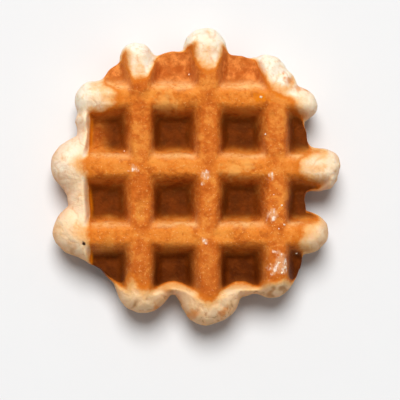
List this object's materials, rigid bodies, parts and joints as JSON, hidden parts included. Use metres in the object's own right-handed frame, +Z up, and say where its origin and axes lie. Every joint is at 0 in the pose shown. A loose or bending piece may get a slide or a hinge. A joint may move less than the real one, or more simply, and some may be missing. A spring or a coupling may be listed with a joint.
{
  "type": "waffle",
  "caption": "Round pearl sugar waffle with a grid of deep square pockets on both faces and pale rounded lobes around its browned middle.",
  "frame": {"origin": "on the surface the waffle lies on, under the middle of its bounding box", "axes": "+Z up through the waffle's thickness, X and Y along its bars, with +Y towards the top of the picture"},
  "size_m": [0.1, 0.1024, 0.024],
  "materials": {
    "browned_dough": "matt browned crust, stands in for baked dough"
  },
  "bodies": {
    "root": {"waffle": "browned_dough"}
  },
  "joints": []
}
